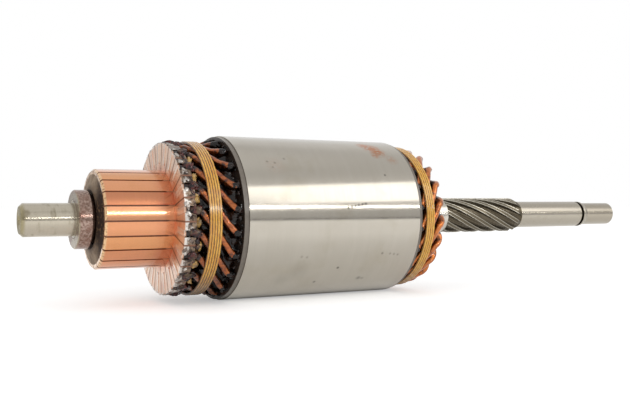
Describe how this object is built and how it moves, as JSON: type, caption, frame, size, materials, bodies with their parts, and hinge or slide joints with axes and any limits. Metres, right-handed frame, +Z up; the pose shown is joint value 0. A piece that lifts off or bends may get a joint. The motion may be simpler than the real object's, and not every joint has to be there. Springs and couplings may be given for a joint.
{
  "type": "direct-current motor armature",
  "caption": "Wound armature with a riser commutator, hairpin coils in a smooth slotted core, cord bands and a helically splined drive shaft.",
  "frame": {"origin": "on the shaft axis at the root of the commutator-end journal, in the plane of the hub's thrust face", "axes": "+X along the shaft from the commutator to the drive end, +Z up, +Y away from the side that is seen"},
  "size_m": [0.384, 0.0846, 0.0846],
  "materials": {
    "shaft_steel": "ground",
    "hub_steel": "light rust",
    "moulding_compound": "moulded",
    "mica": "cut flush",
    "bar_copper": "turned copper",
    "core_steel": "ground",
    "end_fibre": "varnished",
    "liner_paper": "varnished",
    "winding_copper": "varnished copper",
    "layer_paper": "varnished",
    "banding_cord": "resin-soaked cord",
    "sleeve_paper": "varnished"
  },
  "bodies": {
    "root": {"shaft": "shaft_steel", "commutator_hub": "hub_steel", "commutator_moulding": "moulding_compound", "mica_separators": "mica", "commutator_bar_1": "bar_copper", "commutator_bar_2": "bar_copper", "commutator_bar_3": "bar_copper", "commutator_bar_4": "bar_copper", "commutator_bar_5": "bar_copper", "commutator_bar_6": "bar_copper", "commutator_bar_7": "bar_copper", "commutator_bar_8": "bar_copper", "commutator_bar_9": "bar_copper", "commutator_bar_10": "bar_copper", "commutator_bar_11": "bar_copper", "commutator_bar_12": "bar_copper", "commutator_bar_13": "bar_copper", "commutator_bar_14": "bar_copper", "commutator_bar_15": "bar_copper", "commutator_bar_16": "bar_copper", "commutator_bar_17": "bar_copper", "commutator_bar_18": "bar_copper", "commutator_bar_19": "bar_copper", "commutator_bar_20": "bar_copper", "commutator_bar_21": "bar_copper", "armature_core": "core_steel", "front_end_disc": "end_fibre", "rear_end_disc": "end_fibre", "slot_liners": "liner_paper", "coil_1": "winding_copper", "coil_2": "winding_copper", "coil_3": "winding_copper", "coil_4": "winding_copper", "coil_5": "winding_copper", "coil_6": "winding_copper", "coil_7": "winding_copper", "coil_8": "winding_copper", "coil_9": "winding_copper", "coil_10": "winding_copper", "coil_11": "winding_copper", "coil_12": "winding_copper", "coil_13": "winding_copper", "coil_14": "winding_copper", "coil_15": "winding_copper", "coil_16": "winding_copper", "coil_17": "winding_copper", "coil_18": "winding_copper", "coil_19": "winding_copper", "coil_20": "winding_copper", "coil_21": "winding_copper", "front_layer_insulation": "layer_paper", "rear_layer_insulation": "layer_paper", "front_band": "banding_cord", "rear_band": "banding_cord", "front_shaft_sleeve": "sleeve_paper", "rear_shaft_sleeve": "sleeve_paper"}
  },
  "joints": []
}
